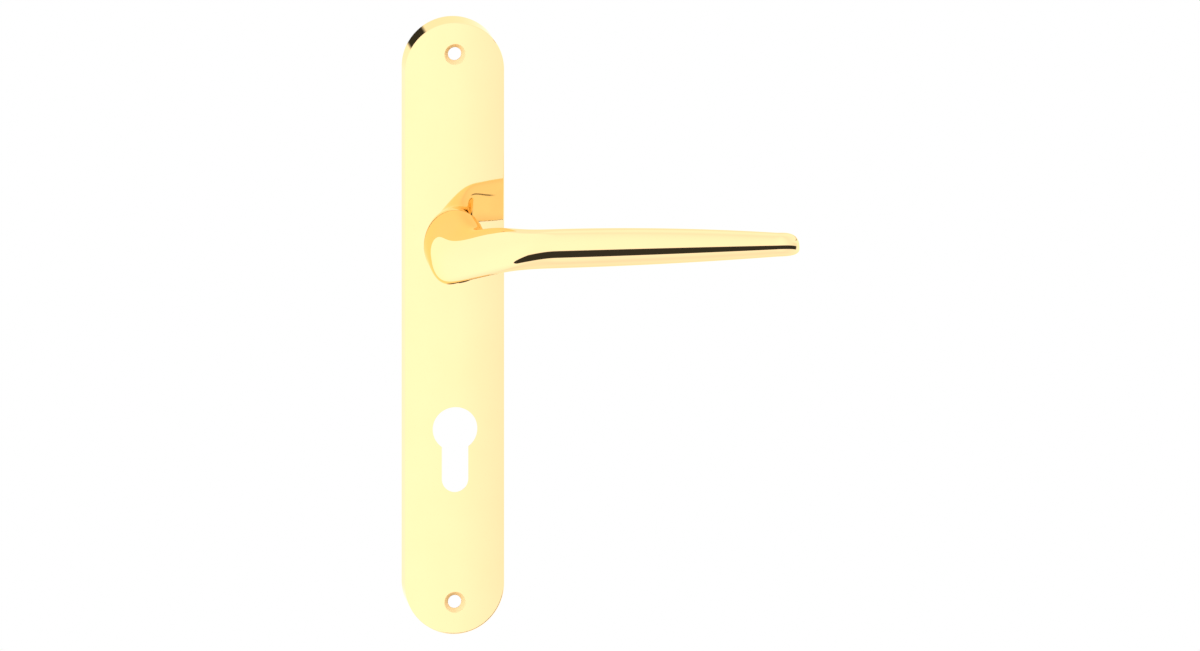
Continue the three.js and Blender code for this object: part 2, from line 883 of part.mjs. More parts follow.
// Pan-head screw that holds the frame to a post of the shell
function frameScrewGeometry() {
  const radius = frameScrew / 2;
  const seat = frameScrewHeadDepth;
  const end = innerFaceAt(framePostX) - seatGap;
  const head = frameScrewHead / 2;
  const body = turned(
    [
      [0, seatGap],
      [head - frameScrewEdge, seatGap],
      [head, seatGap + frameScrewEdge / 2],
      [head, seat],
      [radius, seat],
      [radius, end - radius],
      [0, end],
    ],
    smallSides,
  );
  return cut(body, ...crossRecess(frameScrewHead / 2, seatGap, frameScrewHeadDepth / 2));
}

function crossRecess(span, back, depth) {
  const arm = span / 2;
  const half = crossRecessWidth / 2;
  return [
    slab(boxShape(-arm, arm, -half, half), back - depth, back + depth),
    slab(boxShape(-half, half, -arm, arm), back - depth, back + depth),
  ];
}

// Assembly

const handle = new THREE.Group();

function addTo(parent, name, geometry, material, x = 0, z = 0) {
  const mesh = new THREE.Mesh(geometry, material);
  mesh.name = name;
  mesh.position.set(x, 0, z);
  parent.add(mesh);
  return mesh;
}

addTo(handle, 'backplate', backplateGeometry(), gold);
addTo(handle, 'support_frame', supportFrameGeometry(), paleNylon);
framePosts.forEach(([x, z], i) => {
  addTo(handle, `frame_screw_${i + 1}`, frameScrewGeometry(), steel, x, z);
});

const cassette = new THREE.Group();
handle.add(cassette);
addTo(cassette, 'cassette_housing', cassetteHousingGeometry(), steel);
addTo(cassette, 'cassette_cover', cassetteCoverGeometry(), steel);
cassettePosts.forEach(([x, z], i) => {
  addTo(cassette, `cassette_screw_${i + 1}`, cassetteScrewGeometry(), darkSteel, x, z);
});
stopAngles.forEach((angle, i) => {
  const [x, z] = stopPlace(angle);
  const pin = rod(stopPinDiameter / 2, slipGap, lugFront, smallSides);
  addTo(cassette, `stop_pin_${i + 1}`, pin, darkSteel, x, z);
});
addTo(cassette, 'neck_bush', neckBushGeometry(), paleNylon);
addTo(cassette, 'return_spring', returnSpringGeometry(), darkSteel);

const moving = new THREE.Group();
handle.add(moving);
addTo(moving, 'lever', leverGeometry(), gold);
addTo(moving, 'spindle', spindleGeometry(), steel, 0, spindleZ);
const grubScrew = addTo(moving, 'neck_grub_screw', grubScrewGeometry(), darkSteel);
grubScrew.position.set(0, faceFront - grubReach, grubZ);
addTo(moving, 'rotor', rotorGeometry(), steel);
addTo(
  moving,
  'thrust_washer',
  ring(
    washerRadius,
    journalRadius + journalGap,
    hubFront + slipGap,
    hubFront + slipGap + washerThickness,
    roundSides,
    0,
    spindleZ,
  ),
  paleNylon,
);
addTo(moving, 'wave_washer', waveWasherGeometry(), darkSteel);
addTo(moving, 'retaining_clip', retainingClipGeometry(), darkSteel);

export default handle;
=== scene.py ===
"""Polished gold lever handle on a long backplate with a profile-cylinder cut-out.

The frame is in metres with +Z up. The back of the plate lies in the plane y = 0 against the door, the
front looks along -Y and the lever points along +X. Sizes here are in millimetres, and become metres
where a mesh is made.
"""
import math

import bmesh
import bpy
import numpy as np
from mathutils import Matrix
from mathutils.geometry import delaunay_2d_cdt


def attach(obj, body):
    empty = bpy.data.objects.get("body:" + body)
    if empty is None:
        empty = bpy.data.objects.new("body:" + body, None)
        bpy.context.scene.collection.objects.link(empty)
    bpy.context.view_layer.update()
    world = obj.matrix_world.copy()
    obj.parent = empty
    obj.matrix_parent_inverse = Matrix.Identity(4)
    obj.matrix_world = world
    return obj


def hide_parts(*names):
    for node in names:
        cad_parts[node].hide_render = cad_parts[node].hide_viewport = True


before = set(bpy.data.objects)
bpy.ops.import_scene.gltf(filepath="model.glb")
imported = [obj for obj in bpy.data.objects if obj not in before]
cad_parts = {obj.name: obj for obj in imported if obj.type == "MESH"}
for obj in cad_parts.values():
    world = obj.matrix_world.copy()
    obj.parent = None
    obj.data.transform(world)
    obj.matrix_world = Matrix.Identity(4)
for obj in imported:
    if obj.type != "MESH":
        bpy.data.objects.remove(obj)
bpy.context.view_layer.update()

MM = 0.001

# Studio: the handle is shot free-standing in front of plain white, a little from above and from its
# left. Around it are soft white walls, brighter on the left. The polished metal shows two unlit gaps in
# them, one low on the right and a small one behind, and a thin seam at the far right, as dark marks.

scene = bpy.context.scene
scene.view_settings.view_transform = "Standard"


def wire(tree, kind, inputs=None, **settings):
    """Adds a node with these settings, its inputs filled with values or with other nodes' outputs."""
    made = tree.nodes.new(kind)
    for name, value in settings.items():
        setattr(made, name, value)
    for key, value in (inputs or {}).items():
        if isinstance(value, bpy.types.NodeSocket):
            tree.links.new(value, made.inputs[key])
        else:
            made.inputs[key].default_value = value
    return made


def work(tree, operation, *values):
    """One step of arithmetic between numbers or node outputs."""
    return wire(tree, "ShaderNodeMath", dict(enumerate(values)), operation=operation).outputs[0]


def spread(tree, value, low, high, at_low, at_high, easing="LINEAR"):
    """Carries a value from the span low..high to the span at_low..at_high, and holds it at the ends."""
    inputs = {0: value, 1: low, 2: high, 3: at_low, 4: at_high}
    return wire(tree, "ShaderNodeMapRange", inputs, interpolation_type=easing).outputs[0]


world = bpy.data.worlds.new("white_studio")
world.use_nodes = True
scene.world = world
sky = world.node_tree
sky.nodes.clear()
direction = wire(sky, "ShaderNodeTexCoord").outputs["Generated"]
east, north, height = wire(sky, "ShaderNodeSeparateXYZ", {0: direction}).outputs
to_degrees = 180 / math.pi
turn = work(sky, "MULTIPLY", work(sky, "ARCTAN2", east, work(sky, "MULTIPLY", north, -1.0)), to_degrees)
lift = work(sky, "MULTIPLY", work(sky, "ARCSINE", height), to_degrees)
wall_levels = {-168: 1.22, -150: 1.42, -2: 1.42, 8: 1.38, 22: 1.21, 40: 1.27, 75: 1.33, 150: 1.35, 168: 1.22}
wall_tones = wire(sky, "ShaderNodeValToRGB", {0: spread(sky, turn, -180, 180, 0, 1)})

# The ramp holds half of each level, and the walls double it
for place, (angle, strength) in enumerate(wall_levels.items()):
    stops = wall_tones.color_ramp.elements
    stop = stops[place] if place < len(stops) else stops.new(1)
    stop.position = (angle + 180) / 360
    stop.color = (strength / 2, strength / 2, strength / 2, 1)
top_span, top_level = (0, 40), 0.97
floor_span, low_level = (-75, -35), 0.88
near_top = spread(sky, lift, *top_span, 1, top_level)
near_floor = spread(sky, lift, *floor_span, low_level, 1)
upright_tone = work(sky, "MULTIPLY", near_top, near_floor)
walls = work(sky, "MULTIPLY", work(sky, "MULTIPLY", wall_tones.outputs[0], 2.0), upright_tone)

# A faint soft shade round one direction, low on the right. The spans are where it fades out
corner_turn, corner_lift, corner_depth = 57.0, -15.0, 0.14
corner_turn_fade, corner_lift_fade = (14, 30), (10, 18)
from_corner_turn = work(sky, "ABSOLUTE", work(sky, "SUBTRACT", turn, corner_turn))
from_corner_lift = work(sky, "ABSOLUTE", work(sky, "SUBTRACT", lift, corner_lift))
corner_width = spread(sky, from_corner_turn, *corner_turn_fade, 1, 0)
corner_height = spread(sky, from_corner_lift, *corner_lift_fade, 1, 0)
corner_shade = work(sky, "MULTIPLY", work(sky, "MULTIPLY", corner_width, corner_height), corner_depth)

# The front gap: it opens as a round end on the left, and closes softly on the right
gap_lift, gap_reach, gap_edge = -29.25, 13.25, 1.5
gap_opens, gap_closes = (-1, 6), (60, 70)
gap_half_height = work(sky, "MULTIPLY", work(sky, "SQRT", spread(sky, turn, *gap_opens, 0, 1)), gap_reach)
from_gap_middle = work(sky, "ABSOLUTE", work(sky, "SUBTRACT", lift, gap_lift))
from_gap_edge = work(sky, "SUBTRACT", gap_half_height, from_gap_middle)
in_gap = spread(sky, from_gap_edge, 0, gap_edge, 0, 1, "SMOOTHSTEP")
front_gap = work(sky, "MULTIPLY", in_gap, spread(sky, turn, *gap_closes, 1, 0))

# The seam: a thin level line above the horizon
seam_lift, seam_depth, seam_edge = 17.5, 0.8, (2.4, 3.9)
seam_opens, seam_closes = (72, 85), (148, 156)
seam_reach = work(
    sky, "MULTIPLY", spread(sky, turn, *seam_opens, 0, 1), spread(sky, turn, *seam_closes, 1, 0)
)
from_seam = work(sky, "ABSOLUTE", work(sky, "SUBTRACT", lift, seam_lift))
seam = work(sky, "MULTIPLY", seam_reach, spread(sky, from_seam, *seam_edge, 1, 0))

# The rear gap: a small round patch, measured by the cosine of the angle to its middle
rear_gap_middle, rear_gap_edge, gap_depth = (-0.226, 0.97, 0.09), (0.991, 0.996), 0.97
towards_back = wire(
    sky, "ShaderNodeVectorMath", {0: direction, 1: rear_gap_middle}, operation="DOT_PRODUCT"
).outputs["Value"]
rear_gap = spread(sky, towards_back, *rear_gap_edge, 0, 1, "SMOOTHSTEP")
two_gaps = work(sky, "MAXIMUM", front_gap, rear_gap)
gaps = work(sky, "MAXIMUM", two_gaps, work(sky, "MULTIPLY", seam, seam_depth))
unlit = work(sky, "MAXIMUM", work(sky, "MULTIPLY", gaps, gap_depth), corner_shade)
open_share = work(sky, "SUBTRACT", 1.0, unlit)
seen_in_metal = work(sky, "MULTIPLY", walls, open_share)
path = wire(sky, "ShaderNodeLightPath").outputs
mirrored = work(sky, "MAXIMUM", path["Is Glossy Ray"], path["Is Transmission Ray"])
fill_light = 0.75
indirect = work(
    sky,
    "ADD",
    work(sky, "MULTIPLY", mirrored, seen_in_metal),
    work(sky, "MULTIPLY", work(sky, "SUBTRACT", 1.0, mirrored), fill_light),
)
level = work(
    sky,
    "ADD",
    path["Is Camera Ray"],
    work(sky, "MULTIPLY", work(sky, "SUBTRACT", 1.0, path["Is Camera Ray"]), indirect),
)
background = wire(sky, "ShaderNodeBackground", {0: (1, 1, 1, 1), 1: level})
wire(sky, "ShaderNodeOutputWorld", {0: background.outputs[0]})

# A white paper floor far below, which shines a little by itself where the camera sees it
floor_level, floor_half, paper_glow = -0.6, 1.0, 0.6
cloud_span, paper_tones = (0.3, 0.7), (0.9, 0.93)
floor_mesh = bpy.data.meshes.new("studio_floor")
corners = np.array([[-1, -1], [1, -1], [1, 1], [-1, 1]]) * floor_half
floor_mesh.from_pydata(np.column_stack([corners, np.full(4, floor_level)]), [], [(0, 1, 2, 3)])
floor = bpy.data.objects.new("studio_floor", floor_mesh)
scene.collection.objects.link(floor)
floor.visible_glossy = False
paper = bpy.data.materials.new("white_paper")
paper.use_nodes = True
paper_tree = paper.node_tree
paper_tree.nodes.clear()
paper_place = wire(paper_tree, "ShaderNodeTexCoord").outputs["Object"]
paper_cloud = wire(paper_tree, "ShaderNodeTexNoise", {"Vector": paper_place, "Scale": 3.0}).outputs[0]
paper_tone = wire(
    paper_tree,
    "ShaderNodeCombineColor",
    {k: spread(paper_tree, paper_cloud, *cloud_span, *paper_tones) for k in range(3)},
)
paper_path = wire(paper_tree, "ShaderNodeLightPath").outputs
paper_share = work(paper_tree, "MULTIPLY", paper_path["Is Camera Ray"], paper_glow)
paper_mix = wire(
    paper_tree,
    "ShaderNodeMixShader",
    {
        0: paper_share,
        1: wire(paper_tree, "ShaderNodeBsdfDiffuse", {0: paper_tone.outputs[0]}).outputs[0],
        2: wire(paper_tree, "ShaderNodeEmission", {0: (1, 1, 1, 1), 1: 1.0}).outputs[0],
    },
)
wire(paper_tree, "ShaderNodeOutputMaterial", {0: paper_mix.outputs[0]})
floor_mesh.materials.append(paper)

# One large soft lamp, high on the left in front, which no mirror shows
softbox = bpy.data.lights.new("softbox", "AREA")
softbox.size = 1.2
softbox.energy = 10
softbox_lamp = bpy.data.objects.new("softbox", softbox)
softbox_lamp.location = (-0.7, -1.1, 1.5)
softbox_lamp.rotation_euler = (math.radians(38), 0, math.radians(-32))
softbox_lamp.visible_glossy = False
scene.collection.objects.link(softbox_lamp)

# The camera has no perspective. The middle of the plate's face falls on one chosen pixel of the picture
camera_turn, camera_lift = math.radians(-7.5), math.radians(13)
image_width, pixels_per_mm = 1200, 2.615
plate_middle, plate_pixel, image_middle = (0, -11.5, 0), (455.1, 328.4), (600, 325.5)
camera_distance = 1500
camera_back = np.array(
    [
        math.sin(camera_turn) * math.cos(camera_lift),
        -math.cos(camera_turn) * math.cos(camera_lift),
        math.sin(camera_lift),
    ]
)
camera_right = np.array([math.cos(camera_turn), math.sin(camera_turn), 0])
camera_up = np.cross(camera_back, camera_right)
camera_place = (
    np.array(plate_middle)
    + camera_right * (image_middle[0] - plate_pixel[0]) / pixels_per_mm
    + camera_up * (plate_pixel[1] - image_middle[1]) / pixels_per_mm
    + camera_back * camera_distance
)
lens = bpy.data.cameras.new("camera")
lens.type = "ORTHO"
lens.ortho_scale = image_width / pixels_per_mm * MM
camera = bpy.data.objects.new("camera", lens)
camera_axes = np.eye(4)
camera_axes[:3] = np.column_stack([camera_right, camera_up, camera_back, camera_place * MM])
camera.matrix_world = Matrix(camera_axes.tolist())
scene.collection.objects.link(camera)
scene.camera = camera

# Backplate: a pressed brass shell with a gently arched face, plated in gold and polished to a mirror.
# It is hollow behind, with six posts for screws, and its face is pierced for two wood screws, the
# lever's neck and the profile cylinder.

plate_height, plate_width, plate_depth = 240, 38.2, 11.5
face_radius, plate_wall, edge_round = 150, 2, 0.45
fixing_z, fixing_hole, sink_width, sink_depth = 107.5, 5.2, 8.2, 1.3
cylinder_z, key_circle, key_slot, key_height, key_relief = -39.5, 17.2, 10.2, 33.3, 0.5
neck_z, journal_radius, journal_gap = 32.5, 7, 0.3
post_radius = 3.1
arc_points, side_points, slot_arc_points, slot_side_points, ring_points, edge_points = 97, 81, 49, 12, 96, 7
face_grid, inner_grid, grid_gap_square = (1.5, 2.5), (2.5, 5), 0.5
same_point, weld_digits = 1e-6, 4


def arch(x, radius=face_radius):
    """How far the face stands from the door: an arc across the width, highest on the middle line."""
    return plate_depth - face_radius + np.sqrt(radius**2 - x**2)


def arch_normal(x, radius=face_radius):
    """The face's outward direction: x over the radius across the plate, the rest straight forward."""
    across = x / radius
    return np.stack([across, -np.sqrt(1 - across**2), np.zeros_like(x)], -1)


def closed_line(pieces):
    """Joins stretches of [points, directions] into one outline and its outward directions."""
    return np.vstack([p for p, _ in pieces]), np.vstack([d for _, d in pieces])


def arc_piece(centre_z, radius, start, end, count):
    """Points at equal angles round a centre on the middle line, each facing away from that centre."""
    angle = np.linspace(start, end, count)
    facing = np.stack([np.cos(angle), np.sin(angle)], -1)
    return facing * radius + [0, centre_z], facing


def side_piece(x, z_from, z_to, count):
    """Points in equal steps up or down a straight side, facing away from the middle line."""
    z = np.linspace(z_from, z_to, count)
    return np.stack([np.full(count, x), z], -1), np.tile([np.sign(x), 0.0], (count, 1))


def plate_line(inset):
    """The plate's outline moved in by an inset: two half circles joined by straight sides."""
    radius = plate_width / 2 - inset
    z = plate_height / 2 - plate_width / 2
    return closed_line(
        [
            arc_piece(z, radius, 0, math.pi, arc_points),
            side_piece(-radius, z, -z, side_points),
            arc_piece(-z, radius, math.pi, 2 * math.pi, arc_points),
            side_piece(radius, -z, z, side_points),
        ]
    )


def key_line(wider):
    """The profile cylinder's outline, moved out by a width: a circle that runs into a round-ended slot."""
    end_z = cylinder_z + key_circle / 2 - key_height + key_slot / 2
    radius, half = key_circle / 2 + wider, key_slot / 2 + wider
    start = -math.acos(half / radius)
    meets = cylinder_z + radius * math.sin(start)
    return closed_line(
        [
            arc_piece(cylinder_z, radius, start, math.pi - start, arc_points),
            side_piece(-half, meets, end_z, slot_side_points),
            arc_piece(end_z, half, math.pi, 2 * math.pi, slot_arc_points),
            side_piece(half, end_z, meets, slot_side_points),
        ]
    )


def round_line(radius, z):
    """A circle on the middle line."""
    angle = np.arange(ring_points) * 2 * math.pi / ring_points
    facing = np.stack([np.cos(angle), np.sin(angle)], -1)
    return facing * radius + [0, z], facing


def on_arch(line, radius=face_radius):
    """Lifts an outline in the plane of the door on to the arched face."""
    return np.stack([line[:, 0], -arch(line[:, 0], radius), line[:, 1]], -1)


def upright(line, reach):
    """An outline at a distance from the door."""
    return np.stack([line[:, 0], np.broadcast_to(-reach, len(line)), line[:, 1]], -1)


def level_facing(facing):
    """An outline's directions as directions in space, parallel to the door."""
    return np.stack([facing[:, 0], np.zeros(len(facing)), facing[:, 1]], -1)


def band(rings, directions):
    """Patch between closed rings of equal counts: each cell of the grid becomes two triangles."""
    count, around = rings.shape[:2]
    first = np.arange((count - 1) * around).reshape(count - 1, around)
    beside = np.roll(first, -1, axis=1)
    quads = np.stack([first, beside, beside + around, first + around], -1).reshape(-1, 4)
    triangles = np.vstack([quads[:, [0, 1, 2]], quads[:, [0, 2, 3]]])
    return rings.reshape(-1, 3), directions.reshape(-1, 3), triangles


def inside(points, line):
    """Which points lie within a closed line, by counting the sides that pass to their right."""
    x, z = points[:, 0, None], points[:, 1, None]
    ax, az = line[:, 0], line[:, 1]
    bx, bz = np.roll(ax, -1), np.roll(az, -1)
    with np.errstate(divide="ignore", invalid="ignore"):
        crossing = ((az > z) != (bz > z)) & (x < (bx - ax) * (z - az) / (bz - az) + ax)
    return crossing.sum(1) % 2 == 1


def pierced_face(outer, holes, radius, sign, step_x, step_z):
    """Patch of the arched face within an outline and outside its holes.

    A grid of points, less those too close to an outline, and the outlines are joined by a Delaunay
    triangulation in the plane of the door, and each point is then lifted on to the arc across the width.
    """
    loops = [outer, *holes]
    x, z = np.meshgrid(
        np.arange(-plate_width / 2, plate_width / 2, step_x),
        np.arange(-plate_height / 2, plate_height / 2, step_z),
    )
    grid = np.stack([x.ravel(), z.ravel()], -1)
    keep = inside(grid, outer)
    edges_at = np.vstack(loops)
    keep[keep] = np.array([((edges_at - p) ** 2).sum(1).min() > grid_gap_square for p in grid[keep]])
    for hole in holes:
        keep &= ~inside(grid, hole)
    flat = np.vstack([*loops, grid[keep]])
    starts = np.cumsum([0] + [len(loop) for loop in loops])
    edges = [
        (starts[k] + i, starts[k] + (i + 1) % len(loop))
        for k, loop in enumerate(loops)
        for i in range(len(loop))
    ]
    _, _, faces, origins, _, _ = delaunay_2d_cdt(flat.tolist(), edges, [], 0, same_point)
    places = flat[[origin[0] for origin in origins]]
    triangles = np.array(faces)
    middles = places[triangles].mean(1)
    wanted = inside(middles, outer)
    for hole in holes:
        wanted &= ~inside(middles, hole)
    return on_arch(places, radius), sign * arch_normal(places[:, 0], radius), triangles[wanted]


def turned_patches(profile, x, z, sides=40):
    """Patches turned round an axis square to the door from a profile of [radius, distance from door].

    Each straight stretch of the profile is a band of its own, whose direction is square to it.
    """
    angle = np.arange(sides) * 2 * math.pi / sides
    patches = []
    for (r0, h0), (r1, h1) in zip(profile[:-1], profile[1:]):
        ends = [
            np.stack([x + r * np.cos(angle), np.full(sides, -h), z + r * np.sin(angle)], -1)
            for r, h in ((r0, h0), (r1, h1))
        ]
        length = math.hypot(r1 - r0, h1 - h0)
        out, forward = (h1 - h0) / length, (r1 - r0) / length
        facing = np.stack([out * np.cos(angle), np.full(sides, forward), out * np.sin(angle)], -1)
        patches.append(band(np.stack(ends), np.stack([facing, facing])))
    return patches


def welded(name, patches, material):
    """One closed mesh from patches that meet: equal points become one, and corners keep their direction."""
    offsets = np.cumsum([0] + [len(p[0]) for p in patches])
    points = np.vstack([p[0] for p in patches])
    directions = np.vstack([p[1] for p in patches])
    triangles = np.vstack([p[2] + offset for p, offset in zip(patches, offsets)])
    _, kept, merged = np.unique(np.round(points, weld_digits), axis=0, return_index=True, return_inverse=True)
    corners = merged.reshape(-1)[triangles]
    a, b, c = (points[triangles[:, k]] for k in range(3))
    square = np.cross(b - a, c - a)
    real = (
        (corners[:, 0] != corners[:, 1])
        & (corners[:, 1] != corners[:, 2])
        & (corners[:, 2] != corners[:, 0])
    )
    turned_over = (square * directions[triangles].sum(1)).sum(1) < 0
    triangles[turned_over] = triangles[turned_over][:, ::-1]
    corners[turned_over] = corners[turned_over][:, ::-1]
    triangles, corners = triangles[real], corners[real]
    mesh = bpy.data.meshes.new(name)
    mesh.from_pydata(points[kept] * MM, [], corners.tolist())
    mesh.shade_smooth()
    loops = directions[triangles.reshape(-1)]
    loops /= np.linalg.norm(loops, axis=1, keepdims=True)
    mesh.normals_split_custom_set(loops.tolist())
    mesh.materials.append(material)
    piece = bpy.data.objects.new(name, mesh)
    scene.collection.objects.link(piece)
    return piece


def finish_material(
    name, metallic, shades, roughness, cloud_size, grain_size, grain_depth, stretch=(1, 1, 1)
):
    """A finish whose colour and roughness drift between two values in soft clouds, with a fine relief."""
    made = bpy.data.materials.new(name)
    made.use_nodes = True
    tree = made.node_tree
    shader = tree.nodes["Principled BSDF"]
    shader.inputs["Metallic"].default_value = metallic
    place = wire(tree, "ShaderNodeTexCoord").outputs["Object"]
    cloud = wire(tree, "ShaderNodeTexNoise", {"Vector": place, "Scale": 1 / (cloud_size * MM), "Detail": 3.0})
    fine_place = wire(tree, "ShaderNodeMapping", {"Vector": place, "Scale": stretch}).outputs[0]
    grain = wire(
        tree, "ShaderNodeTexNoise", {"Vector": fine_place, "Scale": 1 / (grain_size * MM), "Detail": 4.0}
    ).outputs[0]
    share = spread(tree, cloud.outputs[0], *cloud_span, 0, 1)
    tint = wire(
        tree,
        "ShaderNodeMix",
        {0: share, 6: (*shades[0], 1), 7: (*shades[1], 1)},
        data_type="RGBA",
    )
    tree.links.new(tint.outputs[2], shader.inputs["Base Color"])
    blend = work(tree, "MULTIPLY_ADD", grain, 0.5, work(tree, "MULTIPLY", share, 0.5))
    tree.links.new(spread(tree, blend, 0.2, 0.8, *roughness), shader.inputs["Roughness"])
    relief = wire(tree, "ShaderNodeBump", {"Height": grain, "Strength": 1.0, "Distance": grain_depth * MM})
    tree.links.new(relief.outputs[0], shader.inputs["Normal"])
    return made


polished_gold = finish_material(
    "polished_gold",
    metallic=1.0,
    shades=((0.924, 0.69, 0.365), (0.936, 0.7, 0.375)),
    roughness=(0.015, 0.04),
    cloud_size=18,
    grain_size=5,
    grain_depth=0.0008,
)

# The two countersinks are turned after polishing and stay satin. Gold keeps its colour at grazing angles.
satin_roughness, edge_tint = 0.42, (1, 0.9, 0.65, 1)
gold_tree = polished_gold.node_tree
gold_place = wire(gold_tree, "ShaderNodeTexCoord").outputs["Object"]
gold_x, _, gold_z = wire(gold_tree, "ShaderNodeSeparateXYZ", {0: gold_place}).outputs
from_sinks = work(gold_tree, "SUBTRACT", work(gold_tree, "ABSOLUTE", gold_z), fixing_z * MM)
upright_square = work(gold_tree, "POWER", from_sinks, 2.0)
from_axis = work(gold_tree, "SQRT", work(gold_tree, "MULTIPLY_ADD", gold_x, gold_x, upright_square))
satin_from, satin_to = (sink_width / 2 - 0.1) * MM, (sink_width / 2 + 0.05) * MM
satin = spread(gold_tree, from_axis, satin_from, satin_to, satin_roughness, 0)
gold_shader = gold_tree.nodes["Principled BSDF"]
gold_shader.inputs["Specular Tint"].default_value = edge_tint
mirror = gold_shader.inputs["Roughness"].links[0].from_socket
gold_tree.links.new(work(gold_tree, "ADD", mirror, satin), gold_shader.inputs["Roughness"])

# The face meets the sides in a small round, and the back is hollow inside the wall
round_steps = np.linspace(0, math.pi / 2, edge_points)
edge_line, edge_facing = plate_line(edge_round)
edge_top = arch(edge_line[:, 0])
edge_face = arch_normal(edge_line[:, 0])
edge_rings, edge_directions = [], []
for angle in round_steps:
    line = plate_line(edge_round * (1 - math.cos(angle)))[0]
    reach = edge_top - edge_round + edge_round * math.sin(angle)
    edge_rings.append(upright(line, reach))
    edge_directions.append(math.cos(angle) * level_facing(edge_facing) + math.sin(angle) * edge_face)
back_line, back_facing = plate_line(0)
inner_line, inner_facing = plate_line(plate_wall)
inner_radius = face_radius - plate_wall

side_rings = np.stack([upright(back_line, 0.0), edge_rings[0]])
plate_patches = [
    band(side_rings, np.stack([level_facing(back_facing)] * 2)),
    band(np.stack(edge_rings), np.stack(edge_directions)),
    band(
        np.stack([upright(back_line, 0.0), upright(inner_line, 0.0)]),
        np.broadcast_to([0.0, 1.0, 0.0], (2, len(back_line), 3)),
    ),
    band(
        np.stack([upright(inner_line, 0.0), on_arch(inner_line, inner_radius)]),
        -np.stack([level_facing(inner_facing)] * 2),
    ),
]

key, key_facing = key_line(0)
key_back = key_line(key_relief)[0]
neck, neck_facing = round_line(journal_radius + journal_gap, neck_z)
sinks, bores = [], []
for side in (-1, 1):
    rim, rim_facing = round_line(sink_width / 2, side * fixing_z)
    bore, bore_facing = round_line(fixing_hole / 2, side * fixing_z)
    sinks.append(rim)
    bores.append(bore)
    slope = math.atan2(sink_depth, (sink_width - fixing_hole) / 2)
    cone = -math.sin(slope) * level_facing(rim_facing) + math.cos(slope) * np.array([0, -1, 0])
    floor_of_sink = upright(bore, plate_depth - sink_depth)
    plate_patches.append(band(np.stack([on_arch(rim), floor_of_sink]), np.stack([cone, cone])))
    plate_patches.append(
        band(
            np.stack([floor_of_sink, on_arch(bore, inner_radius)]),
            -np.stack([level_facing(bore_facing)] * 2),
        )
    )
for line, back, facing in [(key, key_back, key_facing), (neck, neck, neck_facing)]:
    plate_patches.append(
        band(np.stack([on_arch(line), on_arch(back, inner_radius)]), -np.stack([level_facing(facing)] * 2))
    )
plate_patches.append(pierced_face(edge_line, [key, neck, *sinks], face_radius, 1, *face_grid))
plate_patches.append(pierced_face(inner_line, [key_back, neck, *bores], inner_radius, -1, *inner_grid))

# Six posts behind the face take the screws: four near the sides for the frame, two for the cassette
frame_post_x, frame_post_z, frame_post_back, frame_pilot = 10.5, 85, 3.5, 1.7
cassette_post_reach, cassette_post_back, cassette_pilot = 20.3, 3.6, 1.45
post_overlap = 0.5
posts = [
    (x, z, frame_post_back, frame_pilot)
    for z in (-frame_post_z, frame_post_z)
    for x in (-frame_post_x, frame_post_x)
]
posts += [
    (0, neck_z + side * cassette_post_reach, cassette_post_back, cassette_pilot) for side in (-1, 1)
]
for x, z, back, hole in posts:
    top = float(arch(abs(x), inner_radius))
    root = top + post_overlap
    profile = [(0, root), (post_radius, root), (post_radius, back), (hole, back), (hole, top), (0, top)]
    plate_patches += turned_patches(profile, x, z)
backplate_shell = welded("backplate_shell", plate_patches, polished_gold)
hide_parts("backplate")
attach(backplate_shell, "plate")

# Lever: cast brass, ground and polished as one flowing body and plated like the plate. A broad oval
# neck rises from the plate, bends over and draws out into the tapered grip. Behind the plate it ends
# in a turned journal with two flats, a groove for the clip and a square socket for the spindle.

tip_reach, tip_length, tip_drop = 127.4, 8.4, 0.4
tip_bluntness = 0.36
neck_foot, neck_width, neck_height = 0.1, 24, 28.4
grip_projection, grip_thickness, grip_height = 46, 10.5, 15.4
end_thickness, end_height, end_fall = 7.6, 9.4, 1
grip_rise, grip_lean, heel_drop = 7.1, 1.8, 9
bend_length, height_lead, height_end, rise_start, rise_end = 56, 10, 44, 10, 52
neck_power, roof_power, belly_power, grip_power = 1.0, 1.0, 0.7, 0.9
lever_sides, neck_steps, bend_steps, grip_steps, tip_steps = 128, 24, 80, 48, 32
turn_sum_steps, line_sum_steps = 400, 8000


def ease(share):
    """Runs from 0 to 1 with no jump in slope or curvature: six times the fifth power, less fifteen times
    the fourth, plus ten times the third."""
    share = np.clip(share, 0, 1)
    return share**3 * (6 * share**2 - 15 * share + 10)


def centre_line():
    """The lever's middle line: its turn, x and reach, and at each point four shares of the way: through
    neck and bend, through the change of height, through the rise, and along the grip.

    It runs straight out of the plate, turns through a right angle by the ease, and runs along the grip.
    The sums of the turn's sine and cosine over the length give x and reach.
    """
    fine = (np.arange(turn_sum_steps) + 0.5) / turn_sum_steps
    bend_span = bend_length * np.cos(math.pi / 2 * ease(fine)).mean()
    neck_length = grip_projection - grip_thickness / 2 - neck_foot - bend_span
    grip_length = tip_reach - tip_length - bend_span
    run = np.concatenate(
        [
            np.linspace(0, neck_length, neck_steps, endpoint=False),
            neck_length + np.linspace(0, bend_length, bend_steps, endpoint=False),
            neck_length + bend_length + np.linspace(0, grip_length, grip_steps),
        ]
    )
    every = np.linspace(0, run[-1], line_sum_steps + 1)
    turn = math.pi / 2 * ease((every - neck_length) / bend_length)
    middles = (turn[1:] + turn[:-1]) / 2
    step = every[1]
    x = np.concatenate([[0], np.cumsum(np.sin(middles) * step)])
    reach = neck_foot + np.concatenate([[0], np.cumsum(np.cos(middles) * step)])
    grip_start = neck_length + bend_length
    shares = [
        run / grip_start,
        (run + height_lead) / (height_end + height_lead),
        (run - rise_start) / (rise_end - rise_start),
        (run - grip_start) / grip_length,
    ]
    return [np.interp(run, every, values) for values in (turn, x, reach)] + [np.clip(s, 0, 1) for s in shares]


